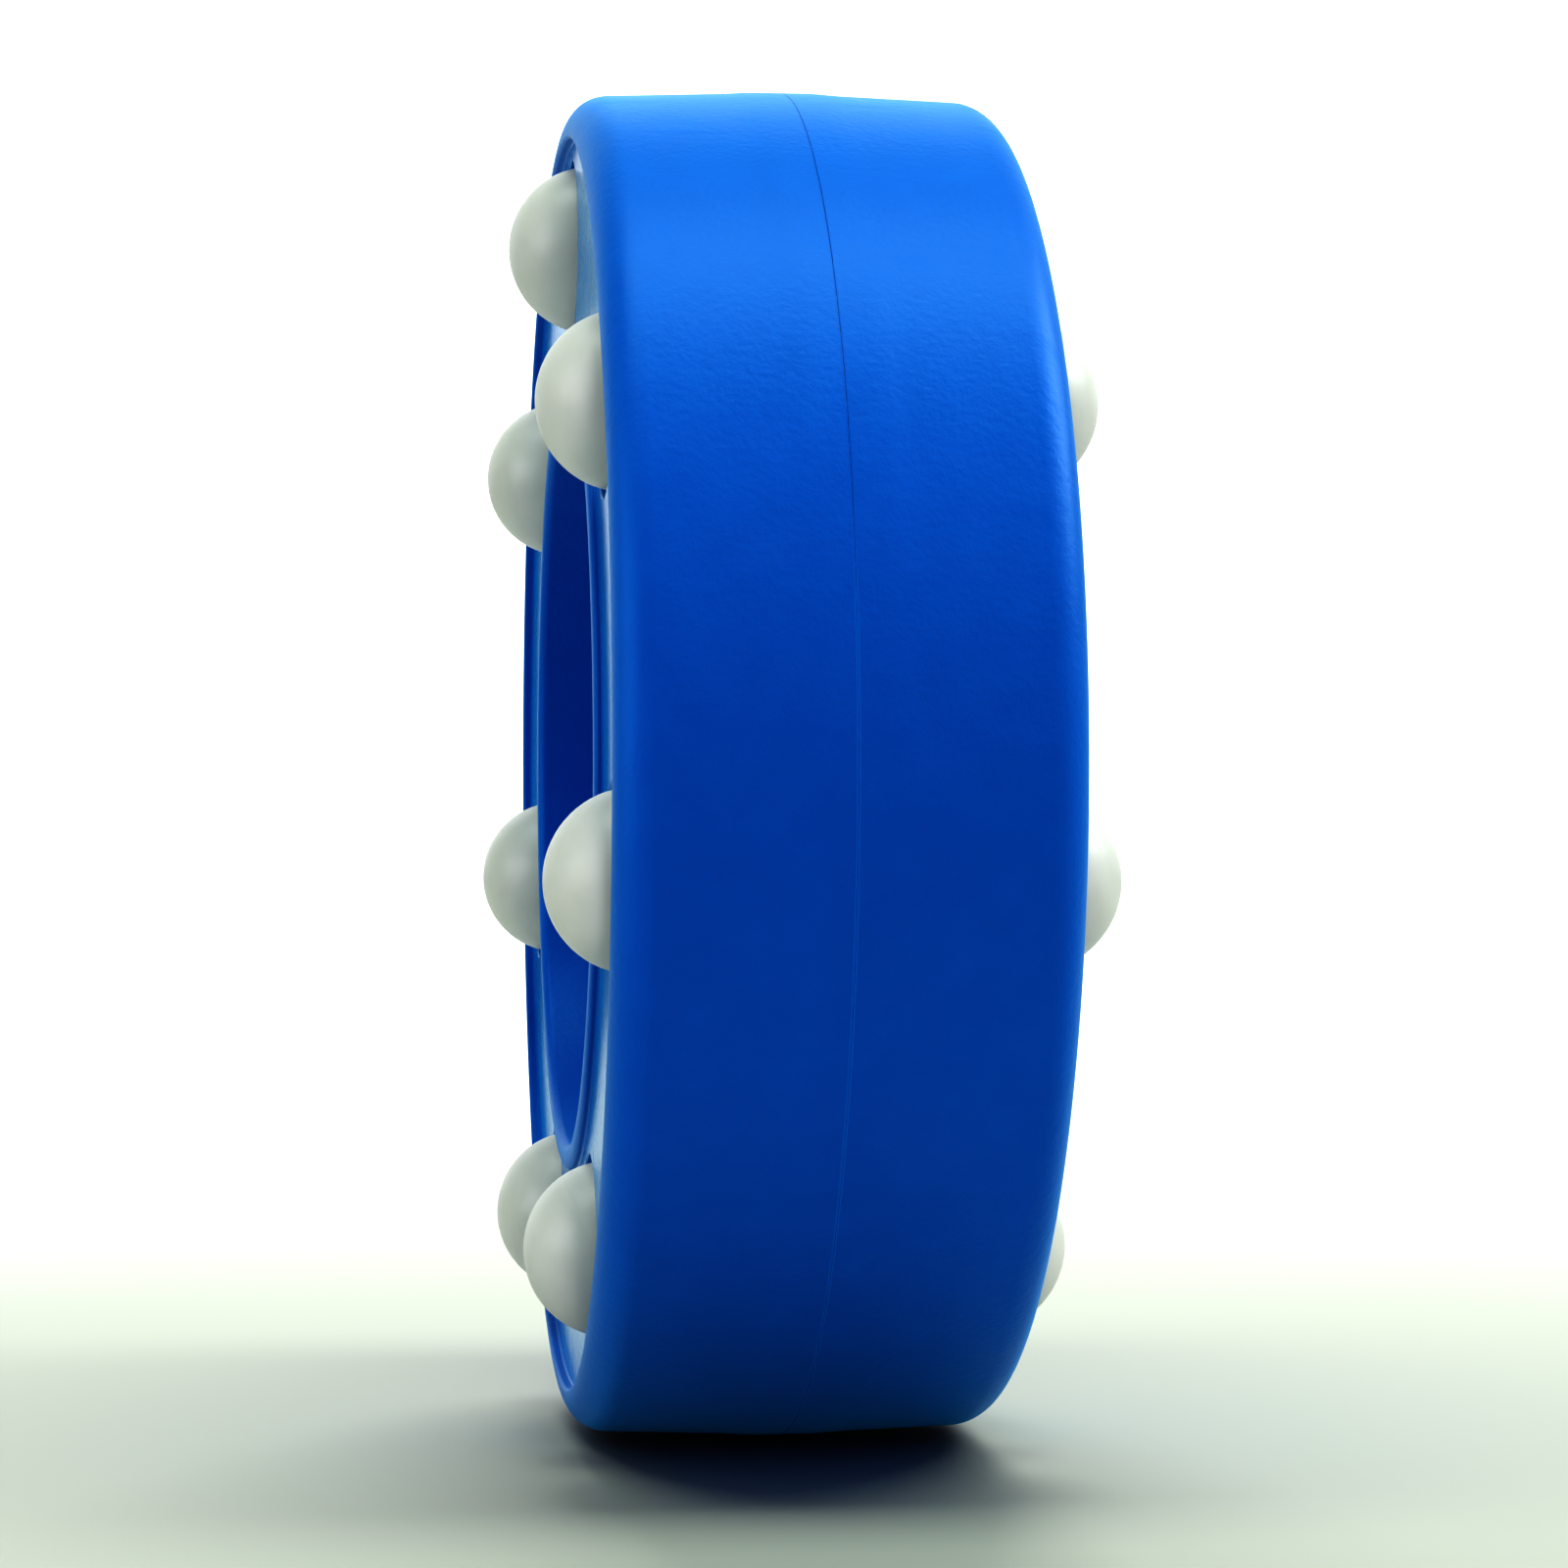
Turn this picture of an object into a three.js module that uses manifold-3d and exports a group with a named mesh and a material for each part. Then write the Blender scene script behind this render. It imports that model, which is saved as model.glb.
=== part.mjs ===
// Roller-ball hockey puck standing on its rim.
// The puck's axis runs along X and its two faces look along -X and +X. The origin is on the ground
// under the centre of the rim, +Z is up, and every size is in millimetres.

import * as THREE from 'three';
import { mergeVertices } from 'three/addons/utils/BufferGeometryUtils.js';
import Module from 'manifold-3d';

const wasm = await Module();
wasm.setup();

// ---------- driving dimensions ----------

const rimRadius = 38.1; // to the flats of the rim, a 3 inch puck
const halfWidth = 11.85; // mid-plane to the crest of the lip
const partGap = 0.3; // between pieces that bear on each other

const bandHalfWidth = 2.5; // level band each side of the parting line
const bandStep = 0.1; // the rim drops by this beside the band
const rimDraft = 0.25; // further narrowing from the band to the rounded edge
const edgeRadius = 2.1; // rounded outer edge of the rim
const rimWall = 3.0;

const faceDepth = 0.6; // ring-shaped floor of the face, below the lip's crest
const faceWall = 2.2;
const lipCrestWidth = 0.15;
const lipChamfer = 0.15;

const recessRadius = 21.7; // round recess in the middle of each face
const recessDepth = 5.35;
const recessDraft = 0.4;
const webWall = 2.2; // floor of the recess
const hubWall = 2.2; // tube round the recess
const beadWidth = 1.4; // raised bead round the mouth of the recess
const beadChamfer = 0.45;
const beadDrop = 0.1; // crest of the bead, below the crest of the lip

const ballCount = 7; // on each face
const ballRadius = 9.525 / 2; // 3/8 inch ball
const ballPitchRadius = 29.45;
const ballCentre = 10.05; // from the mid-plane
const throatRadius = 4.7; // narrower than the ball, so it can't fall out
const throatLand = 0.09;
const socketRadius = 5.0;
const socketShoulder = 0.45; // the socket narrows to the throat above this, from the ball's centre
const bossRadius = 6.3;
const bossEnd = 6.2; // inner end of each socket boss, from the mid-plane

const seatGap = 0.15; // running clearance between ball and dished pad
const seatPlateWall = 2.0;
const seatPadRadius = 5.2;

const tongueInner = 36.2; // tongue of the right shell in the groove of the left
const tongueOuter = 37.0;
const tongueLength = 1.2;

const screwCount = 4;
const screwCircle = 14; // radius of the circle of screws
const shankRadius = 1.5;
const headRadius = 2.8;
const headHeight = 1.9;
const headSeat = 4.1; // bearing face of the heads, from the mid-plane
const screwTip = -5.2;
const headChamfer = 0.5;
const tipTaper = 1.0;
const slotLength = 3.4;
const slotWidth = 0.7;
const slotDepth = 1.0;
const screwBossWall = 1.2;

const overcut = 1; // cutting shapes run this far past the faces they open
const weldDistance = 1e-4;

// facets round each shape, so that one facet lies flat on the ground
const rimFacets = 40;
const socketFacets = 16;
const bossFacets = 16;
const ballFacets = 14;
const ballRows = 8;
const screwFacets = 12;

const paint = {
  shell: { color: 0x0b50c4, roughness: 0.42, metalness: 0 },
  seat: { color: 0xe6e4da, roughness: 0.4, metalness: 0 },
  ball: { color: 0xdfe3dc, roughness: 0.35, metalness: 0 },
  screw: { color: 0xb9bdc2, roughness: 0.35, metalness: 1 },
};

// ---------- places worked out from them ----------

const joinFace = partGap / 2; // each half stops here, short of the mid-plane
const floorFace = halfWidth - faceDepth;
const webFace = halfWidth - recessDepth;
const cavityInner = recessRadius + hubWall;
const cavityOuter = rimRadius - rimWall;
const cavityFace = floorFace - faceWall;
const seatFace = bossEnd - partGap;
const beadOuter = recessRadius + beadWidth;
const beadCrest = halfWidth - beadDrop;
const rimAtEdge = rimRadius - bandStep - rimDraft;
const crestOuter = rimAtEdge - edgeRadius;
const crestInner = crestOuter - lipCrestWidth;

// ---------- solids ----------

// radius to the corners of a polygon whose flats lie at the given radius
function corners(flatRadius, facets) {
  return flatRadius / Math.cos(Math.PI / facets);
}

// turns [radius, x] points about the X axis, with a flat at the top and bottom
function turned(points, facets) {
  const outline = points.map(([radius, x]) => new THREE.Vector2(corners(radius, facets), x));
  const geometry = new THREE.LatheGeometry(outline, facets, Math.PI / facets);
  return geometry.rotateZ(-Math.PI / 2);
}

function solid(geometry) {
  const bare = geometry.clone();
  bare.deleteAttribute('normal');
  bare.deleteAttribute('uv');
  const merged = mergeVertices(bare, weldDistance);
  const corner = merged.index.array;
  const faces = [];
  for (let i = 0; i < corner.length; i += 3) {
    const [a, b, c] = [corner[i], corner[i + 1], corner[i + 2]];
    if (a !== b && b !== c && c !== a) faces.push(a, b, c);
  }
  const vertProperties = new Float32Array(merged.attributes.position.array);
  const triVerts = new Uint32Array(faces);
  return new wasm.Manifold(new wasm.Mesh({ numProp: 3, vertProperties, triVerts }));
}

function geometryOf(manifold) {
  const { vertProperties, triVerts } = manifold.getMesh();
  const geometry = new THREE.BufferGeometry();
  geometry.setAttribute('position', new THREE.BufferAttribute(new Float32Array(vertProperties), 3));
  geometry.setIndex(new THREE.BufferAttribute(new Uint32Array(triVerts), 1));
  geometry.computeVertexNormals();
  return geometry;
}

function turnedSolid(points, facets) {
  return solid(turned(points, facets));
}

function rod(radius, from, to, facets) {
  return turnedSolid([[0, from], [radius, from], [radius, to], [0, to]], facets);
}

// places round the axis: the first at the top, or at half a step from it
function ring(count, radius, offset = 0) {
  return Array.from({ length: count }, (_, i) => {
    const angle = ((i + offset) / count) * 2 * Math.PI;
    return new THREE.Vector3(0, -radius * Math.sin(angle), radius * Math.cos(angle));
  });
}

const ballPlaces = ring(ballCount, ballPitchRadius);
const screwPlaces = ring(screwCount, screwCircle, 0.5);

function addAll(body, tool, places) {
  return places.reduce((joined, p) => joined.add(tool.translate([p.x, p.y, p.z])), body);
}

function cutAll(body, tool, places) {
  return places.reduce((left, p) => left.subtract(tool.translate([p.x, p.y, p.z])), body);
}

function mesh(name, geometry, look) {
  const made = new THREE.Mesh(geometry, new THREE.MeshStandardMaterial({ ...look }));
  made.name = name;
  return made;
}

// ---------- pieces, each half built with its face looking along +X ----------

// the joining edge of the rim, from inside to outside
const tongueEdge = [
  [tongueInner, joinFace],
  [tongueInner, -tongueLength],
  [tongueOuter, -tongueLength],
  [tongueOuter, joinFace],
];
const grooveEdge = [
  [tongueInner - partGap, joinFace],
  [tongueInner - partGap, tongueLength + partGap],
  [tongueOuter + partGap, tongueLength + partGap],
  [tongueOuter + partGap, joinFace],
];

function roundedEdge(steps = 3) {
  return Array.from({ length: steps + 1 }, (_, i) => {
    const angle = (i / steps) * (Math.PI / 2);
    const radius = crestOuter + edgeRadius * Math.cos(angle);
    return [radius, halfWidth - edgeRadius + edgeRadius * Math.sin(angle)];
  });
}

function shellOutline(joiningEdge) {
  return [
    [0, webFace - webWall],
    [recessRadius, webFace - webWall],
    [recessRadius, joinFace],
    [cavityInner, joinFace],
    [cavityInner, cavityFace],
    [cavityOuter, cavityFace],
    [cavityOuter, joinFace],
    ...joiningEdge,
    [rimRadius, joinFace],
    [rimRadius, bandHalfWidth],
    [rimRadius - bandStep, bandHalfWidth + bandStep],
    ...roundedEdge(),
    [crestInner, halfWidth],
    [crestInner - lipChamfer, halfWidth - lipChamfer],
    [crestInner - lipChamfer, floorFace],
    [beadOuter, floorFace],
    [beadOuter - beadChamfer, beadCrest],
    [recessRadius + beadChamfer, beadCrest],
    [recessRadius, beadCrest - beadChamfer],
    [recessRadius - recessDraft, webFace],
    [0, webFace],
  ];
}

// the room cut for one ball: a bore from behind that narrows to the throat at the face
function socketRoom() {
  return turnedSolid(
    [
      [0, bossEnd - overcut],
      [socketRadius, bossEnd - overcut],
      [socketRadius, ballCentre + socketShoulder],
      [throatRadius, floorFace - throatLand],
      [throatRadius, floorFace + overcut],
      [0, floorFace + overcut],
    ],
    socketFacets,
  );
}

function halfShell(joiningEdge, screwBossRadius) {
  let body = turnedSolid(shellOutline(joiningEdge), rimFacets);
  const inWall = cavityFace + faceWall / 2;
  body = addAll(body, rod(bossRadius, bossEnd, inWall, bossFacets), ballPlaces);
  const inWeb = webFace - webWall / 2;
  body = addAll(body, rod(screwBossRadius, joinFace, inWeb, screwFacets), screwPlaces);
  return cutAll(body, socketRoom(), ballPlaces);
}

// screws pass through this half, with their heads sunk below the floor of the recess
function rightShell() {
  const headRoom = headRadius + partGap;
  const body = halfShell(tongueEdge, headRoom + screwBossWall);
  const bore = rod(shankRadius + partGap, -overcut, webFace + overcut, screwFacets);
  const sink = rod(headRoom, headSeat - partGap, webFace + overcut, screwFacets);
  return geometryOf(cutAll(cutAll(body, bore, screwPlaces), sink, screwPlaces));
}

// screws end in blind bosses in this half, so its recess has a plain floor
function leftShell() {
  const boreRadius = shankRadius + partGap;
  const body = halfShell(grooveEdge, boreRadius + screwBossWall);
  const bore = rod(boreRadius, -overcut, partGap - screwTip, screwFacets);
  return geometryOf(cutAll(body, bore, screwPlaces));
}

// flat ring behind the balls, with one dished pad under each
function seatRing() {
  const inner = cavityInner + partGap;
  const outer = cavityOuter - partGap;
  const back = seatFace - seatPlateWall;
  let body = turnedSolid(
    [[inner, back], [outer, back], [outer, seatFace], [inner, seatFace], [inner, back]],
    rimFacets,
  );
  body = addAll(body, rod(seatPadRadius, joinFace, seatFace, bossFacets), ballPlaces);
  const dish = solid(ballGeometry(corners(ballRadius + seatGap, ballFacets)));
  return geometryOf(cutAll(body, dish.translate([ballCentre, 0, 0]), ballPlaces));
}

// sphere with its poles on the X axis, so that the full height shows at the face
function ballGeometry(radius) {
  return new THREE.SphereGeometry(radius, ballFacets, ballRows).rotateZ(-Math.PI / 2);
}

// self-tapping screw with a cross slot in its head
function screw() {
  const headTop = headSeat + headHeight;
  let body = turnedSolid(
    [
      [0, screwTip],
      [shankRadius / 2, screwTip],
      [shankRadius, screwTip + tipTaper],
      [shankRadius, headSeat],
      [headRadius, headSeat],
      [headRadius, headTop - headChamfer],
      [headRadius - headChamfer, headTop],
      [0, headTop],
    ],
    screwFacets,
  );
  const slot = new THREE.BoxGeometry(2 * slotDepth, slotLength, slotWidth).translate(headTop, 0, 0);
  const crossed = slot.clone().rotateX(Math.PI / 2);
  body = body.subtract(solid(slot)).subtract(solid(crossed));
  return geometryOf(body);
}

// ---------- assembly ----------

function half(side, shellGeometry) {
  const group = new THREE.Group();
  group.add(mesh(`${side}_shell`, shellGeometry, paint.shell));
  group.add(mesh(`${side}_seat_ring`, seatRing(), paint.seat));
  ballPlaces.forEach((place, i) => {
    const ball = mesh(`${side}_ball_${i + 1}`, ballGeometry(ballRadius), paint.ball);
    ball.position.set(ballCentre, place.y, place.z);
    group.add(ball);
  });
  return group;
}

const puck = new THREE.Group();
puck.position.z = rimRadius;

const right = half('right', rightShell());
screwPlaces.forEach((place, i) => {
  const made = mesh(`clamp_screw_${i + 1}`, screw(), paint.screw);
  made.position.copy(place);
  right.add(made);
});
puck.add(right);

const left = half('left', leftShell());
left.rotation.z = Math.PI;
puck.add(left);

export default puck;
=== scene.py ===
# A roller-ball puck standing on its rim. Lengths are in millimetres unless a note says otherwise.

import math
import random

import bmesh
import bpy
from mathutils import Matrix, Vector


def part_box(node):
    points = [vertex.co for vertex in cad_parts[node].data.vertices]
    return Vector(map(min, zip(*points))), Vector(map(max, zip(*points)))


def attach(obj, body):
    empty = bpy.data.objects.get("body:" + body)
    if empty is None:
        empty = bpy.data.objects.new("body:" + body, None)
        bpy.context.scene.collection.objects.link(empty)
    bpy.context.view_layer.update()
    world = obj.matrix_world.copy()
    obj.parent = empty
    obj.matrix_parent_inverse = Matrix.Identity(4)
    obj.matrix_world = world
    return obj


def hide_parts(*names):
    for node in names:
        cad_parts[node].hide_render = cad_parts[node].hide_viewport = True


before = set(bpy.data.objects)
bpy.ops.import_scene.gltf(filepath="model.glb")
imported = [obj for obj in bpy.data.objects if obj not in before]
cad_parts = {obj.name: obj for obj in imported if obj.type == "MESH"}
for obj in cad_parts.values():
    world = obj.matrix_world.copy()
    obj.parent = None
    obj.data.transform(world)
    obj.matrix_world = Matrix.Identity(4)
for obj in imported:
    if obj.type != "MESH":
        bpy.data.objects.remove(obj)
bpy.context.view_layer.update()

mm = 0.001
nearly = 0.001  # vertices this close count as being in one place
bigRound, bigSegments, smallSegments = 1, 16, 5  # rounds over bigRound get more segments
random.seed(7)

# places that come from the frame

shellLow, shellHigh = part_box("left_shell")
axisHeight = (shellLow.z + shellHigh.z) / 2 / mm
rimRadius = (shellHigh.z - shellLow.z) / 2 / mm
halfWidth = -shellLow.x / mm  # mid-plane to the crest of the lip
ballLow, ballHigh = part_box("right_ball_1")
ballRadius = (ballHigh.x - ballLow.x) / 2 / mm
ballCentre = (ballHigh.x + ballLow.x) / 2 / mm  # from the mid-plane
ballPitch = (ballHigh.z + ballLow.z) / 2 / mm - axisHeight
screwNames = sorted(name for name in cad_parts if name.startswith("clamp_screw"))
ballNames = sorted(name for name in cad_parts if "_ball_" in name)
sides = {"left": -1, "right": 1}  # the left face looks along -X
ballCount = len(ballNames) // len(sides)


def middleOf(node):
    low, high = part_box(node)
    return (low + high) / 2


# hand tools


def only(piece):  # selects one object and nothing else
    bpy.ops.object.select_all(action="DESELECT")
    piece.select_set(True)
    bpy.context.view_layer.objects.active = piece


def settle(piece):  # puts the place, turn and size into the mesh
    only(piece)
    bpy.ops.object.transform_apply(location=True, rotation=True, scale=True)


def pickVertices(piece, wanted):  # in edit mode, selects the vertices that the test accepts
    bpy.ops.mesh.select_mode(type="VERT")
    bpy.ops.mesh.select_all(action="DESELECT")
    mesh = bmesh.from_edit_mesh(piece.data)
    for vertex in mesh.verts:
        vertex.select = wanted(vertex.co)
    mesh.select_flush_mode()
    bmesh.update_edit_mesh(piece.data)


def drawOutline(name, corners, side=1):
    # each corner is (radius, x) or (radius, x, round), with the turning axis along X through the origin
    radius, x = corners[0][:2]
    bpy.ops.object.select_all(action="DESELECT")
    bpy.ops.mesh.primitive_plane_add(size=mm)
    drawn = bpy.context.object
    drawn.name = name
    bpy.ops.object.mode_set(mode="EDIT")
    bpy.ops.mesh.select_all(action="SELECT")
    bpy.ops.mesh.merge(type="CENTER")
    bpy.ops.transform.translate(value=(side * x * mm, 0, radius * mm))
    closed = corners[0][0] > 0
    path = corners + corners[:1] if closed else corners
    for before, after in zip(path, path[1:]):
        step = (side * (after[1] - before[1]) * mm, 0, (after[0] - before[0]) * mm)
        bpy.ops.mesh.extrude_region_move(TRANSFORM_OT_translate={"value": step})
    bpy.ops.mesh.select_all(action="SELECT")
    bpy.ops.mesh.remove_doubles(threshold=nearly * mm)
    for size in sorted({corner[2] for corner in corners if len(corner) > 2}):
        spots = [Vector((side * c[1], 0, c[0])) * mm for c in corners if c[2:] == (size,)]
        pickVertices(drawn, lambda co: any((co - spot).length < 2 * nearly * mm for spot in spots))
        segments = bigSegments if size > bigRound else smallSegments
        bpy.ops.mesh.bevel(offset=size * mm, segments=segments, affect="VERTICES")
    bpy.ops.object.mode_set(mode="OBJECT")
    return drawn


def turnOutline(name, corners, steps, side=1):
    turned = drawOutline(name, corners, side)
    bpy.ops.object.mode_set(mode="EDIT")
    bpy.ops.mesh.select_all(action="SELECT")
    bpy.ops.mesh.spin(steps=steps, angle=2 * math.pi, center=(0, 0, 0), axis=(1, 0, 0))
    bpy.ops.mesh.select_all(action="SELECT")
    bpy.ops.mesh.remove_doubles(threshold=nearly / 2 * mm)
    bpy.ops.mesh.normals_make_consistent(inside=False)
    bpy.ops.object.mode_set(mode="OBJECT")
    return turned


def copyOf(piece, name):
    twin = piece.copy()
    twin.data = piece.data.copy()
    twin.name = name
    bpy.context.collection.objects.link(twin)
    return twin


def setOut(piece, places):  # one copy of a tool at each (y, z), joined into one object
    copies = []
    for y, z in places:
        twin = copyOf(piece, piece.name)
        twin.location = (0, y * mm, z * mm)
        settle(twin)
        copies.append(twin)
    bpy.data.objects.remove(piece)
    bpy.ops.object.select_all(action="DESELECT")
    for twin in copies:
        twin.select_set(True)
    bpy.context.view_layer.objects.active = copies[0]
    bpy.ops.object.join()
    return bpy.context.object


def combine(piece, tool, operation):  # joins or cuts with a tool, which is used up
    only(piece)
    bpy.ops.object.modifier_add(type="BOOLEAN")
    change = piece.modifiers[-1]
    change.operation = operation
    change.solver = "EXACT"
    change.object = tool
    bpy.ops.object.modifier_apply(modifier=change.name)
    bpy.data.objects.remove(tool)


def rod(name, radius, start, end, side, steps=48):
    bpy.ops.object.select_all(action="DESELECT")
    bpy.ops.mesh.primitive_cylinder_add(
        vertices=steps,
        radius=radius * mm,
        depth=(end - start) * mm,
        location=(side * (start + end) / 2 * mm, 0, 0),
        rotation=(0, math.pi / 2, 0),
    )
    made = bpy.context.object
    made.name = name
    settle(made)
    return made


def smooth(piece, degrees=32):  # soft shading that keeps the flats flat and the corners crisp
    only(piece)
    bpy.ops.object.shade_smooth_by_angle(angle=math.radians(degrees))
    bpy.ops.object.modifier_add(type="WEIGHTED_NORMAL")
    piece.modifiers[-1].keep_sharp = True
    bpy.ops.object.modifier_apply(modifier=piece.modifiers[-1].name)


def lift(piece, height=axisHeight):  # from the axis line up to where the puck's axis is
    piece.location = (0, 0, height * mm)
    settle(piece)


def fit(piece, material, slotName, body, *nodes):
    piece.data.materials.clear()
    piece.data.materials.append(material)
    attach(piece, body)
    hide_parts(*nodes)


# camera, floor and lights

studio = {
    "cameraPlace": (-29.0, -244.7, 32.5),
    "cameraTurn": (91.036, 0.114, -6.984),  # degrees
    "sensor": 36,
    "focal": 98.415,
    "nearest": 0.01,  # metres
    "farthest": 50,
    "white": 1.02,  # strength of the white backdrop
}
floorLook = {
    "grey": (0.44, 0.455, 0.41),
    "rough": 0.55,
    "gloss": 0.12,
    "clear": 25,  # the floor keeps its own colour this far out
    "fade": 430,  # and has faded into the white backdrop here
    "reach": 4,  # metres
}
skyLook = {
    "colour": (0.96, 0.99, 1.0),
    "front": 0.45,  # how far round to the back the dim part goes, as the Y of the direction
    "back": 0.98,
    "dim": 0.11,
    "bright": 0.8,
}
# each lamp's place, aim and size are in metres
overheadSoftbox = {
    "place": (0.15, -0.06, 0.56),
    "aim": (0.15, 0, 0),
    "size": (0.95, 0.22),
    "watts": 2.65,
    "colour": (0.91, 1, 0.88),
}
backSoftbox = {"place": (0.06, 0.50, 0.38), "size": (0.28, 0.24), "watts": 2.7}
leftPanel = {"place": (-0.48, -0.13, 0.14), "size": (0.30, 0.26), "watts": 0.63}
rightPanel = {"place": (0.42, 0.0, 0.34), "size": (0.26, 0.26), "watts": 1.15}
frontFill = {"place": (0.06, -0.58, 0.02), "size": (0.10, 0.20), "watts": 1.2, "colour": (1, 0.91, 1)}


def makeCamera():
    camera = bpy.data.cameras.new("studioCamera")
    camera.lens = studio["focal"]
    camera.sensor_width = studio["sensor"]
    camera.clip_start = studio["nearest"]
    camera.clip_end = studio["farthest"]
    stand = bpy.data.objects.new("studioCamera", camera)
    bpy.context.collection.objects.link(stand)
    stand.location = Vector(studio["cameraPlace"]) * mm
    stand.rotation_euler = [math.radians(a) for a in studio["cameraTurn"]]
    bpy.context.scene.camera = stand


def makeFloor():
    bpy.ops.object.select_all(action="DESELECT")
    bpy.ops.mesh.primitive_circle_add(vertices=96, radius=floorLook["reach"], fill_type="NGON")
    floor = bpy.context.object
    floor.name = "studioFloor"
    paint = bpy.data.materials.new("studioFloor")
    paint.use_nodes = True
    nodes, links = paint.node_tree.nodes, paint.node_tree.links
    shader = nodes["Principled BSDF"]
    shader.inputs["Base Color"].default_value = (*floorLook["grey"], 1)
    shader.inputs["Roughness"].default_value = floorLook["rough"]
    shader.inputs["Specular IOR Level"].default_value = floorLook["gloss"]
    place = nodes.new("ShaderNodeTexCoord")
    reach = nodes.new("ShaderNodeVectorMath")
    reach.operation = "LENGTH"
    fade = nodes.new("ShaderNodeMapRange")
    fade.interpolation_type = "SMOOTHSTEP"
    fade.inputs["From Min"].default_value = floorLook["clear"] * mm
    fade.inputs["From Max"].default_value = floorLook["fade"] * mm
    glow = nodes.new("ShaderNodeEmission")
    glow.inputs["Color"].default_value = (1, 1, 1, 1)
    glow.inputs["Strength"].default_value = studio["white"]
    mix = nodes.new("ShaderNodeMixShader")
    links.new(place.outputs["Object"], reach.inputs[0])
    links.new(reach.outputs["Value"], fade.inputs["Value"])
    path = nodes.new("ShaderNodeLightPath")
    seen = nodes.new("ShaderNodeMath")
    seen.operation = "MULTIPLY"
    links.new(fade.outputs["Result"], seen.inputs[0])
    links.new(path.outputs["Is Camera Ray"], seen.inputs[1])
    links.new(seen.outputs[0], mix.inputs["Fac"])
    links.new(shader.outputs["BSDF"], mix.inputs[1])
    links.new(glow.outputs["Emission"], mix.inputs[2])
    links.new(mix.outputs["Shader"], nodes["Material Output"].inputs["Surface"])
    floor.data.materials.append(paint)
    return floor


def makeLight(name, lamp):
    light = bpy.data.lights.new(name, "AREA")
    light.shape = "RECTANGLE"
    light.size, light.size_y = lamp["size"]
    light.energy = lamp["watts"]
    light.color = lamp.get("colour", (1, 1, 1))
    stand = bpy.data.objects.new(name, light)
    bpy.context.collection.objects.link(stand)
    aim = Vector(lamp.get("aim", (0, 0, axisHeight * mm)))
    stand.location = lamp["place"]
    stand.rotation_euler = (Vector(lamp["place"]) - aim).to_track_quat("Z", "Y").to_euler()
    return stand


def makeSky():  # white to look at, and a softer light that comes mostly from behind and above
    world = bpy.data.worlds.new("studioSky")
    bpy.context.scene.world = world
    world.use_nodes = True
    nodes, links = world.node_tree.nodes, world.node_tree.links
    light = nodes["Background"]
    seen = nodes.new("ShaderNodeBackground")
    seen.inputs["Color"].default_value = (1, 1, 1, 1)
    seen.inputs["Strength"].default_value = studio["white"]
    direction = nodes.new("ShaderNodeTexCoord")
    parts = nodes.new("ShaderNodeSeparateXYZ")
    depth = nodes.new("ShaderNodeMapRange")  # from the front of the room to the back
    depth.interpolation_type = "SMOOTHSTEP"
    depth.inputs["From Min"].default_value = skyLook["front"]
    depth.inputs["From Max"].default_value = skyLook["back"]
    depth.inputs["To Min"].default_value = skyLook["dim"]
    depth.inputs["To Max"].default_value = skyLook["bright"]
    path = nodes.new("ShaderNodeLightPath")
    mix = nodes.new("ShaderNodeMixShader")
    links.new(direction.outputs["Generated"], parts.inputs[0])
    links.new(parts.outputs["Y"], depth.inputs["Value"])
    links.new(depth.outputs["Result"], light.inputs["Strength"])
    light.inputs["Color"].default_value = (*skyLook["colour"], 1)
    links.new(path.outputs["Is Camera Ray"], mix.inputs["Fac"])
    links.new(light.outputs["Background"], mix.inputs[1])
    links.new(seen.outputs["Background"], mix.inputs[2])
    links.new(mix.outputs["Shader"], nodes["World Output"].inputs["Surface"])


def makeStudio():
    makeCamera()
    floor = makeFloor()
    makeSky()
    makeLight("overheadSoftbox", overheadSoftbox)
    back = makeLight("backSoftbox", backSoftbox)
    left = makeLight("leftPanel", leftPanel)
    right = makeLight("rightPanel", rightPanel)
    fill = makeLight("frontFill", frontFill)
    for soft in (back, fill):  # these light the piece without showing as highlights
        soft.visible_glossy = False
    shaded = bpy.data.collections.new("floorShaded")
    shaded.objects.link(floor)
    shaded.collection_objects[0].light_linking.link_state = "EXCLUDE"
    for soft in (left, right, fill):  # kept off the floor, whose shadow comes from above and behind
        soft.light_linking.receiver_collection = shaded
    view = bpy.context.scene.view_settings
    view.view_transform = "Standard"
    view.look = "Very High Contrast"


makeStudio()
print("studio ready")

# sizes of the half shells

shell = {
    "join": 0.006,  # the halves meet this far from the mid-plane
    "seamRound": 0.03,
    "bandFlat": 1.9,  # level band each side of the parting line
    "bandEnd": 3.1,
    "bandStep": 0.1,
    "rimAtFace": 37.68,  # where the rim's straight side would meet the crest
    "edgeRound": 2.1,
    "lipInner": 35.35,
    "lipRound": 0.2,
    "rimWall": 3.0,
    "faceDepth": 0.6,
    "faceWall": 2.2,
    "recessRadius": 21.7,
    "recessDepth": 5.35,
    "recessDraft": 0.4,
    "recessRound": 0.7,
    "webWall": 2.2,
    "hubWall": 2.2,
    "beadWidth": 1.4,
    "beadDrop": 0.1,
    "beadRound": 0.5,
    "footRound": 0.18,
    "innerRound": 0.5,
    "steps": 216,
}
floorFace = halfWidth - shell["faceDepth"]
webFace = halfWidth - shell["recessDepth"]

# finishes

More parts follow.
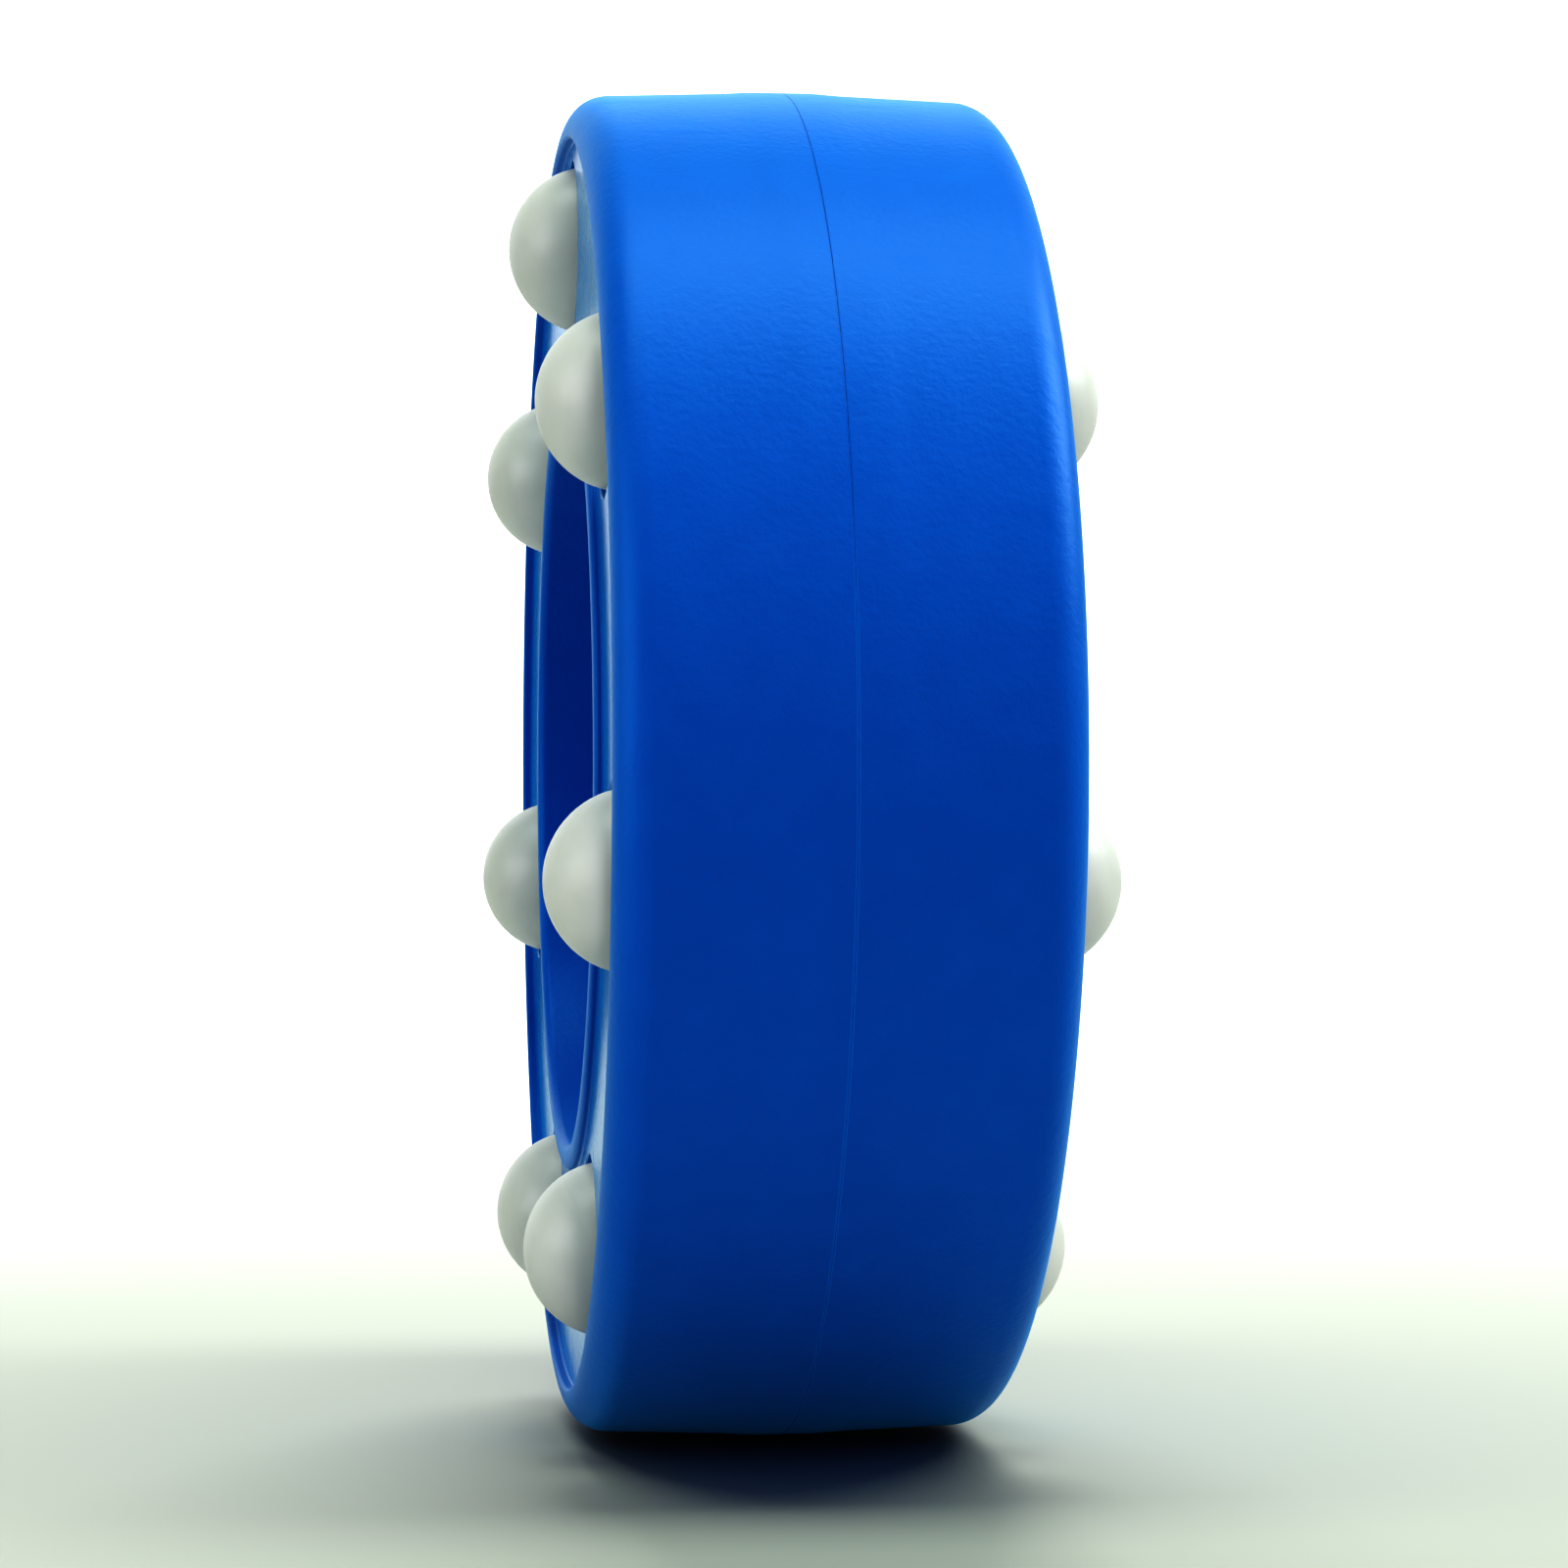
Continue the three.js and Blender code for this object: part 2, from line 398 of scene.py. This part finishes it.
# moulded skin: a broad mottle and a fine grain, shared by all the plastic pieces
def makeMouldSkin():
    group = bpy.data.node_groups.new("mouldSkin", "ShaderNodeTree")
    sockets = group.interface
    for name, value in (("Mottle Scale", 300.0), ("Grain Scale", 3000.0), ("Grain Share", 0.75)):
        made = sockets.new_socket(name=name, in_out="INPUT", socket_type="NodeSocketFloat")
        made.default_value = value
    sockets.new_socket(name="Mottle", in_out="OUTPUT", socket_type="NodeSocketFloat")
    sockets.new_socket(name="Height", in_out="OUTPUT", socket_type="NodeSocketFloat")
    nodes, links = group.nodes, group.links
    given = nodes.new("NodeGroupInput")
    result = nodes.new("NodeGroupOutput")
    place = nodes.new("ShaderNodeTexCoord")
    broad = nodes.new("ShaderNodeTexNoise")
    broad.inputs["Detail"].default_value = 3
    fine = nodes.new("ShaderNodeTexNoise")
    fine.inputs["Detail"].default_value = 2
    fine.inputs["Roughness"].default_value = 0.6
    blend = nodes.new("ShaderNodeMix")
    links.new(place.outputs["Object"], broad.inputs["Vector"])
    links.new(place.outputs["Object"], fine.inputs["Vector"])
    links.new(given.outputs["Mottle Scale"], broad.inputs["Scale"])
    links.new(given.outputs["Grain Scale"], fine.inputs["Scale"])
    links.new(given.outputs["Grain Share"], blend.inputs[0])
    links.new(broad.outputs["Fac"], blend.inputs[2])
    links.new(fine.outputs["Fac"], blend.inputs[3])
    links.new(broad.outputs["Fac"], result.inputs["Mottle"])
    links.new(blend.outputs[0], result.inputs["Height"])
    return group


streak = {
    "lean": (0.5, 0.3, 0.9),  # radians
    "stretch": (1.0, 14.0, 1.6),
    "faint": 0.60,  # noise below this leaves no scuff
    "full": 0.78,
}


# hairline scuffs from handling, as a mask
def makeScuffs():
    group = bpy.data.node_groups.new("handlingScuffs", "ShaderNodeTree")
    made = group.interface.new_socket(name="Scale", in_out="INPUT", socket_type="NodeSocketFloat")
    made.default_value = 90.0
    group.interface.new_socket(name="Scuff", in_out="OUTPUT", socket_type="NodeSocketFloat")
    nodes, links = group.nodes, group.links
    given = nodes.new("NodeGroupInput")
    result = nodes.new("NodeGroupOutput")
    place = nodes.new("ShaderNodeTexCoord")
    stretch = nodes.new("ShaderNodeMapping")
    stretch.inputs["Rotation"].default_value = streak["lean"]
    stretch.inputs["Scale"].default_value = streak["stretch"]
    streaks = nodes.new("ShaderNodeTexNoise")
    streaks.inputs["Detail"].default_value = 6
    pick = nodes.new("ShaderNodeMapRange")
    pick.inputs["From Min"].default_value = streak["faint"]
    pick.inputs["From Max"].default_value = streak["full"]
    links.new(place.outputs["Object"], stretch.inputs["Vector"])
    links.new(stretch.outputs["Vector"], streaks.inputs["Vector"])
    links.new(given.outputs["Scale"], streaks.inputs["Scale"])
    links.new(streaks.outputs["Fac"], pick.inputs["Value"])
    links.new(pick.outputs["Result"], result.inputs["Scuff"])
    return group


parting = {
    "core": 0.05,  # from the mid-plane, full strength to here
    "edge": 0.13,  # and gone here
    "paintedShadeAbove": 15,  # from the axis, painted shade on the line above this height
    "paintedHighlightBelow": 4,  # and a painted highlight on the line below this one
}


# the line where the halves meet, as a mask, and painted light along it: painted shade high up, a painted
# highlight low down
def makePartingLineAndPaintedLight():
    group = bpy.data.node_groups.new("partingLineAndPaintedLight", "ShaderNodeTree")
    group.interface.new_socket(name="Line", in_out="OUTPUT", socket_type="NodeSocketFloat")
    group.interface.new_socket(name="Painted Light", in_out="OUTPUT", socket_type="NodeSocketFloat")
    nodes, links = group.nodes, group.links
    result = nodes.new("NodeGroupOutput")
    place = nodes.new("ShaderNodeTexCoord")
    parts = nodes.new("ShaderNodeSeparateXYZ")
    off = nodes.new("ShaderNodeMath")
    off.operation = "ABSOLUTE"
    fade = nodes.new("ShaderNodeMapRange")
    fade.inputs["From Min"].default_value = parting["core"] * mm
    fade.inputs["From Max"].default_value = parting["edge"] * mm
    fade.inputs["To Min"].default_value = 1
    fade.inputs["To Max"].default_value = 0
    # painted light by height: 0 high up gives painted shade, 1 low down gives a painted highlight
    paintedLightByHeight = nodes.new("ShaderNodeMapRange")
    paintedLightByHeight.interpolation_type = "SMOOTHSTEP"
    paintedLightByHeight.inputs["From Min"].default_value = (axisHeight + parting["paintedShadeAbove"]) * mm
    paintedLightByHeight.inputs["From Max"].default_value = (axisHeight + parting["paintedHighlightBelow"]) * mm
    links.new(parts.outputs["Z"], paintedLightByHeight.inputs["Value"])
    links.new(paintedLightByHeight.outputs["Result"], result.inputs["Painted Light"])
    links.new(place.outputs["Object"], parts.inputs[0])
    links.new(parts.outputs["X"], off.inputs[0])
    links.new(off.outputs[0], fade.inputs["Value"])
    links.new(fade.outputs["Result"], result.inputs["Line"])
    return group


floorReach = 0.05  # what lies this near the floor's level, above or below, belongs to it


# the sunk floor of each face, where the mould was polished, as a mask
def makePolishedFloor():
    group = bpy.data.node_groups.new("polishedFloor", "ShaderNodeTree")
    group.interface.new_socket(name="Polish", in_out="OUTPUT", socket_type="NodeSocketFloat")
    nodes, links = group.nodes, group.links
    result = nodes.new("NodeGroupOutput")
    place = nodes.new("ShaderNodeTexCoord")
    flatten = nodes.new("ShaderNodeVectorMath")  # from the axis, leaving X out
    flatten.operation = "MULTIPLY_ADD"
    flatten.inputs[1].default_value = (0, 1, 1)
    flatten.inputs[2].default_value = (0, 0, -axisHeight * mm)
    radius = nodes.new("ShaderNodeVectorMath")
    radius.operation = "LENGTH"
    parts = nodes.new("ShaderNodeSeparateXYZ")
    depth = nodes.new("ShaderNodeMath")
    depth.operation = "ABSOLUTE"
    level = nodes.new("ShaderNodeMath")
    level.operation = "COMPARE"
    level.inputs[1].default_value = floorFace * mm
    level.inputs[2].default_value = floorReach * mm
    ring = nodes.new("ShaderNodeMath")
    ring.operation = "COMPARE"
    ring.inputs[1].default_value = (shell["lipInner"] + shell["recessRadius"]) / 2 * mm
    ring.inputs[2].default_value = (shell["lipInner"] - shell["recessRadius"]) / 2 * mm
    both = nodes.new("ShaderNodeMath")
    both.operation = "MULTIPLY"
    links.new(place.outputs["Object"], flatten.inputs[0])
    links.new(flatten.outputs["Vector"], radius.inputs[0])
    links.new(place.outputs["Object"], parts.inputs[0])
    links.new(parts.outputs["X"], depth.inputs[0])
    links.new(depth.outputs[0], level.inputs[0])
    links.new(radius.outputs["Value"], ring.inputs[0])
    links.new(level.outputs[0], both.inputs[0])
    links.new(ring.outputs[0], both.inputs[1])
    links.new(both.outputs[0], result.inputs["Polish"])
    return group


def addGroup(nodes, group, **values):
    made = nodes.new("ShaderNodeGroup")
    made.node_tree = group
    for name, value in values.items():
        made.inputs[name.replace("_", " ")].default_value = value
    return made


def spread(tree, source, low, high):  # turns a 0 to 1 value into a range
    reach = tree.nodes.new("ShaderNodeMapRange")
    reach.inputs["To Min"].default_value = low
    reach.inputs["To Max"].default_value = high
    tree.links.new(source, reach.inputs["Value"])
    return reach.outputs["Result"]


def mixColours(tree, share, first, second):  # each is a colour or the output of another node
    mix = tree.nodes.new("ShaderNodeMix")
    mix.data_type = "RGBA"
    tree.links.new(share, mix.inputs[0])
    for place, given in ((6, first), (7, second)):
        if isinstance(given, tuple):
            mix.inputs[place].default_value = (*given, 1)
        else:
            tree.links.new(given, mix.inputs[place])
    return mix.outputs[2]


def fadeBy(tree, mask, value, share):  # brings a value down to a share of itself where the mask is 1
    scale = spread(tree, mask, 1, share)
    faded = tree.nodes.new("ShaderNodeMath")
    faded.operation = "MULTIPLY"
    tree.links.new(value, faded.inputs[0])
    tree.links.new(scale, faded.inputs[1])
    return faded.outputs[0]


roughSway = 0.05  # the mottle shifts the roughness this far either way
hazeRough = 0.6


def makePlastic(name, look, skinGroup, scuffGroup):
    material = bpy.data.materials.new(name)
    material.use_nodes = True
    tree = material.node_tree
    nodes, links = tree.nodes, tree.links
    shader = nodes["Principled BSDF"]
    skin = addGroup(nodes, skinGroup, Mottle_Scale=look["mottleScale"], Grain_Scale=look["grainScale"])
    scuff = addGroup(nodes, scuffGroup)
    colour = mixColours(tree, skin.outputs["Mottle"], look["deep"], look["light"])
    if "linePaintedHighlight" in look:
        line = addGroup(nodes, partingLineAndPaintedLight)
        # the parting line's colour, with painted shade high up and a painted highlight low down
        linePaintedLight = mixColours(tree, line.outputs["Painted Light"], look["linePaintedShade"], look["linePaintedHighlight"])
        colour = mixColours(tree, line.outputs["Line"], colour, linePaintedLight)
    links.new(colour, shader.inputs["Base Color"])
    least, most = look["rough"] - roughSway, look["rough"] + roughSway
    rough = spread(tree, skin.outputs["Mottle"], least, most)
    worn = nodes.new("ShaderNodeMath")
    worn.operation = "MULTIPLY_ADD"
    worn.inputs[1].default_value = look["scuff"]
    links.new(scuff.outputs["Scuff"], worn.inputs[0])
    links.new(rough, worn.inputs[2])
    dull, height = worn.outputs[0], skin.outputs["Height"]
    if "polish" in look:
        polish = addGroup(nodes, polishedFloor)
        dull = fadeBy(tree, polish.outputs["Polish"], dull, look["polish"])
        height = fadeBy(tree, polish.outputs["Polish"], height, look["polish"])
    links.new(dull, shader.inputs["Roughness"])
    bump = nodes.new("ShaderNodeBump")
    bump.inputs["Strength"].default_value = look["bump"]
    bump.inputs["Distance"].default_value = look["bumpDepth"] * mm
    links.new(height, bump.inputs["Height"])
    links.new(bump.outputs["Normal"], shader.inputs["Normal"])
    shader.inputs["Specular IOR Level"].default_value = look["gloss"]
    shader.inputs["Specular Tint"].default_value = (*look.get("glossTint", (1, 1, 1)), 1)
    shader.inputs["Sheen Weight"].default_value = look.get("haze", 0)
    shader.inputs["Sheen Roughness"].default_value = hazeRough
    shader.inputs["Sheen Tint"].default_value = (*look.get("hazeTint", (1, 1, 1)), 1)
    shader.inputs["Subsurface Weight"].default_value = look.get("glow", 0)
    shader.inputs["Subsurface Radius"].default_value = (1, 1, 1)
    shader.inputs["Subsurface Scale"].default_value = look.get("glowDepth", 0) * mm
    return material


def makePlated(name, look, scuffGroup):
    material = bpy.data.materials.new(name)
    material.use_nodes = True
    tree = material.node_tree
    shader = tree.nodes["Principled BSDF"]
    scuff = addGroup(tree.nodes, scuffGroup, Scale=look["scuffScale"])
    colour = mixColours(tree, scuff.outputs["Scuff"], look["clean"], look["dull"])
    tree.links.new(colour, shader.inputs["Base Color"])
    rough = spread(tree, scuff.outputs["Scuff"], look["rough"], look["roughWorn"])
    tree.links.new(rough, shader.inputs["Roughness"])
    shader.inputs["Metallic"].default_value = 1
    return material


shellLook = {
    "deep": (0.003, 0.094, 0.46),
    "light": (0.004, 0.112, 0.515),
    # parting line colours: painted shade above, painted highlight below
    "linePaintedShade": (0.003, 0.086, 0.45),
    "linePaintedHighlight": (0.006, 0.15, 0.60),
    "mottleScale": 420,
    "grainScale": 2200,
    "rough": 0.42,
    "scuff": 0.1,
    "bump": 0.6,
    "bumpDepth": 0.06,
    "gloss": 0.5,
    "glossTint": (0.05, 0.50, 1.0),
    "haze": 0.35,
    "hazeTint": (0.02, 0.50, 0.82),
    "polish": 0.32,  # share of the roughness and grain left on the floor of each face
}
ballLook = {
    "deep": (0.545, 0.575, 0.535),
    "light": (0.615, 0.64, 0.60),
    "mottleScale": 500,
    "grainScale": 3500,
    "rough": 0.40,
    "scuff": 0.08,
    "bump": 0.05,
    "bumpDepth": 0.03,
    "gloss": 0.5,
    "glow": 0.55,
    "glowDepth": 3,
}
seatLook = {
    "deep": (0.62, 0.60, 0.53),
    "light": (0.72, 0.70, 0.64),
    "mottleScale": 300,
    "grainScale": 3000,
    "rough": 0.42,
    "scuff": 0.05,
    "bump": 0.05,
    "bumpDepth": 0.03,
    "gloss": 0.5,
}
screwLook = {
    "clean": (0.58, 0.60, 0.63),
    "dull": (0.34, 0.36, 0.38),
    "scuffScale": 400,
    "rough": 0.28,
    "roughWorn": 0.5,
}

mouldSkin = makeMouldSkin()
handlingScuffs = makeScuffs()
partingLineAndPaintedLight = makePartingLineAndPaintedLight()
polishedFloor = makePolishedFloor()
shellPlastic = makePlastic("shellPlastic", shellLook, mouldSkin, handlingScuffs)
ballPlastic = makePlastic("ballPlastic", ballLook, mouldSkin, handlingScuffs)
seatPlastic = makePlastic("seatPlastic", seatLook, mouldSkin, handlingScuffs)
platedSteel = makePlated("platedSteel", screwLook, handlingScuffs)
print("finishes ready")

# half shells

joint = {"tongueInner": 36.2, "tongueOuter": 37.0, "tongueLength": 1.2, "gap": 0.3, "round": 0.1}
socket = {
    "bossRadius": 6.3,
    "bossEnd": 6.2,
    "bore": 5.0,
    "throat": 4.735,
    "throatDrop": 0.5,  # the throat lies this far below the face's floor
    "mouth": 5.1,
    "mouthDepth": 0.38,
    "mouthRound": 0.1,
    "shoulder": 0.45,
    "shoulderRound": 0.1,
    "throatRound": 0.05,
    "steps": 72,
}
screwHole = {
    "circle": 14,
    "bore": 1.8,
    "sink": 3.1,
    "sinkFloor": 3.8,
    "sinkRound": 0.15,
    "sinkFlare": 0.3,
    "bossWall": 1.2,
    "blindEnd": 5.5,
    "steps": 48,
}

overcut = 1  # cutters stand this far out of what they cut


def ringPlaces(count, radius, offset=0):
    angles = [(i + offset) / count * 2 * math.pi for i in range(count)]
    return [(radius * math.sin(a), radius * math.cos(a)) for a in angles]


def joiningEdge(side):
    inner, outer = joint["tongueInner"], joint["tongueOuter"]
    reach, gap = joint["tongueLength"], joint["gap"]
    if side == sides["right"]:
        ends = [(inner, shell["join"]), (inner, -reach), (outer, -reach), (outer, shell["join"])]
    else:
        low, high, depth = inner - gap, outer + gap, reach + gap
        ends = [(low, shell["join"]), (low, depth), (high, depth), (high, shell["join"])]
    return [(radius, x, joint["round"]) for radius, x in ends]


def shellOutline(side):
    recess = shell["recessRadius"]
    hub = recess + shell["hubWall"]
    wall = rimRadius - shell["rimWall"]
    roof = floorFace - shell["faceWall"]
    beadCrest = halfWidth - shell["beadDrop"]
    soft = shell["innerRound"]
    join = shell["join"]
    return [
        (0, webFace - shell["webWall"]),
        (recess, webFace - shell["webWall"], soft),
        (recess, join, joint["round"]),
        (hub, join, joint["round"]),
        (hub, roof, soft),
        (wall, roof, soft),
        (wall, join, joint["round"]),
        *joiningEdge(side),
        (rimRadius, join, shell["seamRound"]),
        (rimRadius, shell["bandFlat"], soft),
        (rimRadius - shell["bandStep"], shell["bandEnd"], soft),
        (shell["rimAtFace"], halfWidth, shell["edgeRound"]),
        (shell["lipInner"], halfWidth, shell["lipRound"]),
        (shell["lipInner"], floorFace, shell["footRound"]),
        (recess + shell["beadWidth"], floorFace, shell["footRound"]),
        (recess + shell["beadWidth"], beadCrest, shell["beadRound"]),
        (recess, beadCrest, shell["beadRound"]),
        (recess - shell["recessDraft"], webFace, shell["recessRound"]),
        (0, webFace),
    ]


def socketCutter(side):  # bore from behind, then the throat, then a rounded mouth
    corners = [
        (0, socket["bossEnd"] - overcut),
        (socket["bore"], socket["bossEnd"] - overcut),
        (socket["bore"], ballCentre + socket["shoulder"], socket["shoulderRound"]),
        (socket["throat"], floorFace - socket["throatDrop"], socket["throatRound"]),
        (socket["mouth"], floorFace - socket["mouthDepth"], socket["throatRound"]),
        (socket["mouth"], floorFace - socket["mouthRound"]),
        (socket["mouth"] + 2 * socket["mouthRound"], floorFace + socket["mouthRound"]),
        (socket["mouth"] + 2 * socket["mouthRound"], floorFace + overcut),
        (0, floorFace + overcut),
    ]
    return turnOutline("socketCutter", corners, socket["steps"], side)


def sinkOutline():  # room for a screw's head, flared where it meets the recess's floor
    soft, wide = screwHole["sinkRound"], screwHole["sink"] + screwHole["sinkFlare"]
    return [
        (0, screwHole["sinkFloor"]),
        (screwHole["sink"], screwHole["sinkFloor"], soft),
        (screwHole["sink"], webFace - soft),
        (wide, webFace + soft),
        (wide, webFace + overcut),
        (0, webFace + overcut),
    ]


def makeShell(name, side):
    body = turnOutline(name, shellOutline(side), shell["steps"], side)
    balls = ringPlaces(ballCount, ballPitch)
    screws = ringPlaces(len(screwNames), screwHole["circle"], 0.5)
    inWall = floorFace - shell["faceWall"] / 2
    inWeb = webFace - shell["webWall"] / 2
    boss = rod("boss", socket["bossRadius"], socket["bossEnd"], inWall, side)
    combine(body, setOut(boss, balls), "UNION")
    throughSide = side == sides["right"]
    bossHole = screwHole["sink"] if throughSide else screwHole["bore"]
    boss = rod("screwBoss", bossHole + screwHole["bossWall"], shell["join"], inWeb, side)
    combine(body, setOut(boss, screws), "UNION")
    combine(body, setOut(socketCutter(side), balls), "DIFFERENCE")
    boreEnd = webFace + overcut if throughSide else screwHole["blindEnd"]
    bore = rod("bore", screwHole["bore"], -overcut, boreEnd, side)
    combine(body, setOut(bore, screws), "DIFFERENCE")
    if throughSide:
        sink = turnOutline("sink", sinkOutline(), screwHole["steps"])
        combine(body, setOut(sink, screws), "DIFFERENCE")
    lift(body)
    smooth(body)
    return body


leftShell = makeShell("leftShell", sides["left"])
rightShell = makeShell("rightShell", sides["right"])
fit(leftShell, shellPlastic, "shell_plastic", "body", "left_shell")
fit(rightShell, shellPlastic, "shell_plastic", "body", "right_shell")
print("half shells turned, bored and joined", len(leftShell.data.polygons), len(rightShell.data.polygons))

# seat rings

seat = {
    "gap": 0.3,
    "plateWall": 2.0,
    "padRadius": 5.2,
    "padInset": 0.05,
    "dishGap": 0.15,
    "round": 0.3,
    "steps": 144,
}


def makeSeatRing(name, side):
    face = socket["bossEnd"] - seat["gap"]
    inner = shell["recessRadius"] + shell["hubWall"] + seat["gap"]
    outer = rimRadius - shell["rimWall"] - seat["gap"]
    back = face - seat["plateWall"]
    corners = [
        (inner, back, seat["round"]),
        (outer, back, seat["round"]),
        (outer, face, seat["round"]),
        (inner, face, seat["round"]),
    ]
    ring = turnOutline(name, corners, seat["steps"], side)
    balls = ringPlaces(ballCount, ballPitch)
    inset = seat["padInset"]
    pad = rod("pad", seat["padRadius"], shell["join"] + inset, face - inset, side)
    combine(ring, setOut(pad, balls), "UNION")
    bpy.ops.object.select_all(action="DESELECT")
    bpy.ops.mesh.primitive_uv_sphere_add(
        segments=64,
        ring_count=48,
        radius=(ballRadius + seat["dishGap"]) * mm,
        location=(side * ballCentre * mm, 0, 0),
        rotation=(0, math.pi / 2, 0),
    )
    dish = bpy.context.object
    settle(dish)
    combine(ring, setOut(dish, balls), "DIFFERENCE")
    lift(ring)
    smooth(ring)
    return ring


for sideName, side in sides.items():
    seatRing = makeSeatRing(sideName + "SeatRing", side)
    fit(seatRing, seatPlastic, "seat_plastic", "body", sideName + "_seat_ring")
print("seat rings dished")

# balls

ball = {
    "segments": 72,
    "rings": 36,
    "lineWidth": 0.07,
    "lineDepth": 0.012,
    "gateReach": 0.02,  # the gate takes in what lies this near the pole's height
    "gateDepth": 0.02,
    "leastTurn": 0.3,
    "mostTurn": 1.2,
}


def makeBall():
    bpy.ops.object.select_all(action="DESELECT")
    bpy.ops.mesh.primitive_uv_sphere_add(
        segments=ball["segments"], ring_count=ball["rings"], radius=ballRadius * mm
    )
    made = bpy.context.object
    made.name = "ballPattern"
    bpy.ops.object.mode_set(mode="EDIT")
    # fine moulding line round the middle
    pickVertices(made, lambda co: abs(co.z) < nearly * mm)
    bpy.ops.mesh.bevel(offset=ball["lineWidth"] * mm, segments=2, affect="EDGES")
    pickVertices(made, lambda co: abs(co.z) < nearly * mm)
    bpy.ops.transform.resize(value=(1 - ball["lineDepth"] / ballRadius,) * 2 + (1,))
    # trimmed gate at one pole
    pickVertices(made, lambda co: co.z > (ballRadius - ball["gateReach"]) * mm)
    bpy.ops.transform.translate(value=(0, 0, -ball["gateDepth"] * mm))
    bpy.ops.object.mode_set(mode="OBJECT")
    only(made)
    bpy.ops.object.shade_smooth()
    return made


ballPattern = makeBall()
for name in ballNames:
    sideName, _, number = name.split("_")
    turned = copyOf(ballPattern, sideName + "Ball" + number)
    turns = [random.uniform(ball["leastTurn"], ball["mostTurn"]) for _ in range(3)]
    turned.rotation_euler = [turn * math.pi for turn in turns]
    turned.location = middleOf(name)
    settle(turned)
    fit(turned, ballPlastic, "ball_plastic", name, name)
bpy.data.objects.remove(ballPattern)
print("balls turned", len(ballNames))

# clamp screws

screw = {
    "shank": 1.5,
    "root": 1.12,
    "threadPitch": 1.0,
    "tip": -5.2,
    "threadEnd": 1.8,
    "headSeat": 4.1,
    "headRadius": 2.8,
    "headHeight": 1.9,
    "headRound": 0.8,
    "slotLength": 3.3,
    "slotWidth": 0.75,
    "slotDepth": 1.1,
    "slotTaper": 0.55,
    "tipShare": 0.45,
    "threadStart": 0.35,  # from the tip
    "crestAt": 0.42,  # shares of the pitch
    "rootAt": 0.84,
    "firstThread": 0.7,  # size of the first ridge, and how much each next one gains
    "threadGain": 0.15,
    "neckEase": 0.08,
    "runOut": 0.4,
    "softEdge": 0.1,
    "steps": 48,
}


def screwOutline():
    top = screw["headSeat"] + screw["headHeight"]
    pitch, root, crest = screw["threadPitch"], screw["root"], screw["shank"]
    neck, soft = crest - screw["neckEase"], screw["softEdge"]
    corners = [(0, screw["tip"]), (root * screw["tipShare"], screw["tip"])]
    for i in range(int((screw["threadEnd"] - screw["tip"]) / pitch)):  # ridges, thinner at the tip
        start = screw["tip"] + screw["threadStart"] + i * pitch
        grown = min(1, screw["firstThread"] + i * screw["threadGain"])
        corners += [
            (root * grown, start),
            (crest * grown, start + screw["crestAt"] * pitch),
            (root * grown, start + screw["rootAt"] * pitch),
        ]
    corners += [
        (neck, screw["threadEnd"] + screw["runOut"]),
        (neck, screw["headSeat"], soft),
        (screw["headRadius"], screw["headSeat"], soft),
        (screw["headRadius"], top, screw["headRound"]),
        (0, top),
    ]
    return corners


def makeScrew():
    made = turnOutline("screwPattern", screwOutline(), screw["steps"])
    top = screw["headSeat"] + screw["headHeight"]
    for turn in (0, math.pi / 2):  # two tapered slots make the cross
        bpy.ops.object.select_all(action="DESELECT")
        bpy.ops.mesh.primitive_cube_add(size=2 * mm, location=(top * mm, 0, 0))
        slot = bpy.context.object
        slot.scale = (screw["slotDepth"], screw["slotLength"] / 2, screw["slotWidth"] / 2)
        slot.rotation_euler = (turn, 0, 0)
        settle(slot)
        bpy.ops.object.mode_set(mode="EDIT")
        floor = (top - screw["slotDepth"] / 2) * mm
        pickVertices(slot, lambda co: co.x < floor)
        bpy.ops.transform.resize(value=(1, screw["slotTaper"], screw["slotTaper"]))
        bpy.ops.object.mode_set(mode="OBJECT")
        combine(made, slot, "DIFFERENCE")
    smooth(made)
    return made


screwPattern = makeScrew()
for number, name in enumerate(screwNames, 1):
    placed = copyOf(screwPattern, f"clampScrew{number}")
    middle = middleOf(name)
    placed.rotation_euler = (random.uniform(0, math.pi), 0, 0)
    placed.location = (0, middle.y, middle.z)
    settle(placed)
    fit(placed, platedSteel, "screw_steel", "body", name)
bpy.data.objects.remove(screwPattern)
print("screws cut", len(screwNames))
